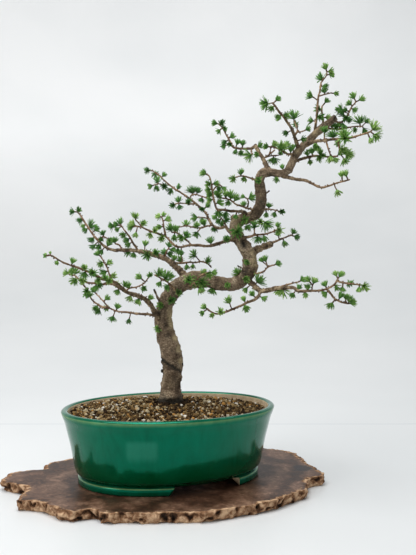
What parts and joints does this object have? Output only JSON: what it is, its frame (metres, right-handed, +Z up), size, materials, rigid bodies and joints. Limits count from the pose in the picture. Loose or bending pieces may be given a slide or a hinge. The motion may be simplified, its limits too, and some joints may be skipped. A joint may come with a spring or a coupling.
{
  "type": "larch bonsai",
  "caption": "Larch bonsai with an S-curved trunk and tufted twigs, rooted in coarse soil in an oval green-glazed pot that stands on a thin slab of burl wood.",
  "frame": {"origin": "On the slab's flat underside, straight below the middle of the pot's rim.", "axes": "+Z up, +X to the right and -Y towards the viewer as the tree is shown; the pot's long axis is turned 17 degrees about +Z, its left end nearer the viewer."},
  "size_m": [0.4469, 0.2783, 0.4996],
  "materials": {
    "slab_wood": "polished top, rough bark edge",
    "glazed_pot": "glossy green glaze outside and on the lip, bare clay inside",
    "soil": "loose coarse grains",
    "bark": "rough bark",
    "needles": "fresh green needles on thin woody twigs",
    "screen_plastic": "matt"
  },
  "bodies": {
    "root": {"drain_screen_left": "screen_plastic", "drain_screen_right": "screen_plastic", "limb_apex_back": "needles", "limb_apex_end": "needles", "limb_apex_left": "needles", "limb_apex_up": "needles", "limb_bend_twig": "needles", "limb_front_left_twig": "needles", "limb_front_twig": "needles", "limb_inner_left_front": "needles", "limb_inner_upper_front": "needles", "limb_left_back": "needles", "limb_left_high_back": "needles", "limb_low_left": "needles", "limb_low_right_front": "needles", "limb_mid_left_front": "needles", "limb_mid_upper_front": "needles", "limb_right_front": "needles", "limb_right_high_back": "needles", "limb_right_long_front": "needles", "limb_right_low_back": "needles", "limb_right_mid_front": "needles", "limb_right_short_front": "needles", "limb_right_small_back": "needles", "limb_right_stub_back": "needles", "limb_short_left": "needles", "limb_upper_left_back": "needles", "pot": "glazed_pot", "soil": "soil", "trunk": "bark", "wood_slab": "slab_wood"}
  },
  "joints": []
}
